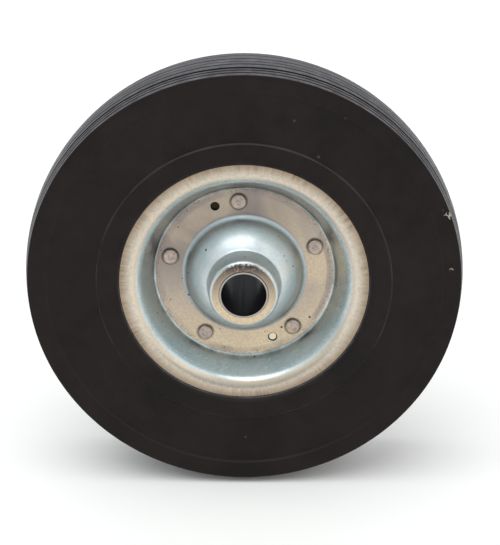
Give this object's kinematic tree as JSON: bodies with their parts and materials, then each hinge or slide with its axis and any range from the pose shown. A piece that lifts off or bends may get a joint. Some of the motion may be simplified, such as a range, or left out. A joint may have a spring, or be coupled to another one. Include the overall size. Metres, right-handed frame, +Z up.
{
  "type": "gate wheel",
  "caption": "Solid rubber gate wheel on a dished pressed-steel rim, riveted round a plain-bored hub, with a crowned ribbed tread and stepped sidewalls.",
  "frame": {"origin": "the wheel's centre: on the spin axis, at the mid-plane between the discs", "axes": "+Y is the spin axis, the front of the wheel faces -Y and +Z is up"},
  "size_m": [0.2, 0.058, 0.2],
  "materials": {
    "tyre_rubber": "moulded black-brown rubber, dusty satin sidewalls, greyer ribbed tread",
    "zinc_plate": "bright zinc plate on pressed sheet, blue-silver with straw-yellow iridescence and small dark pits",
    "rivet_zinc": "zinc-plated rivet steel, warm pinkish straw, dull",
    "liner_steel": "dark drawn steel tube, semi-gloss bore with streaks along the axis"
  },
  "bodies": {
    "root": {"tyre": "tyre_rubber", "rim_half_front": "zinc_plate", "rim_half_rear": "zinc_plate", "hub_tube": "zinc_plate", "bore_liner": "liner_steel", "rivet_1": "rivet_zinc", "rivet_2": "rivet_zinc", "rivet_3": "rivet_zinc", "rivet_4": "rivet_zinc", "rivet_5": "rivet_zinc"}
  },
  "joints": []
}
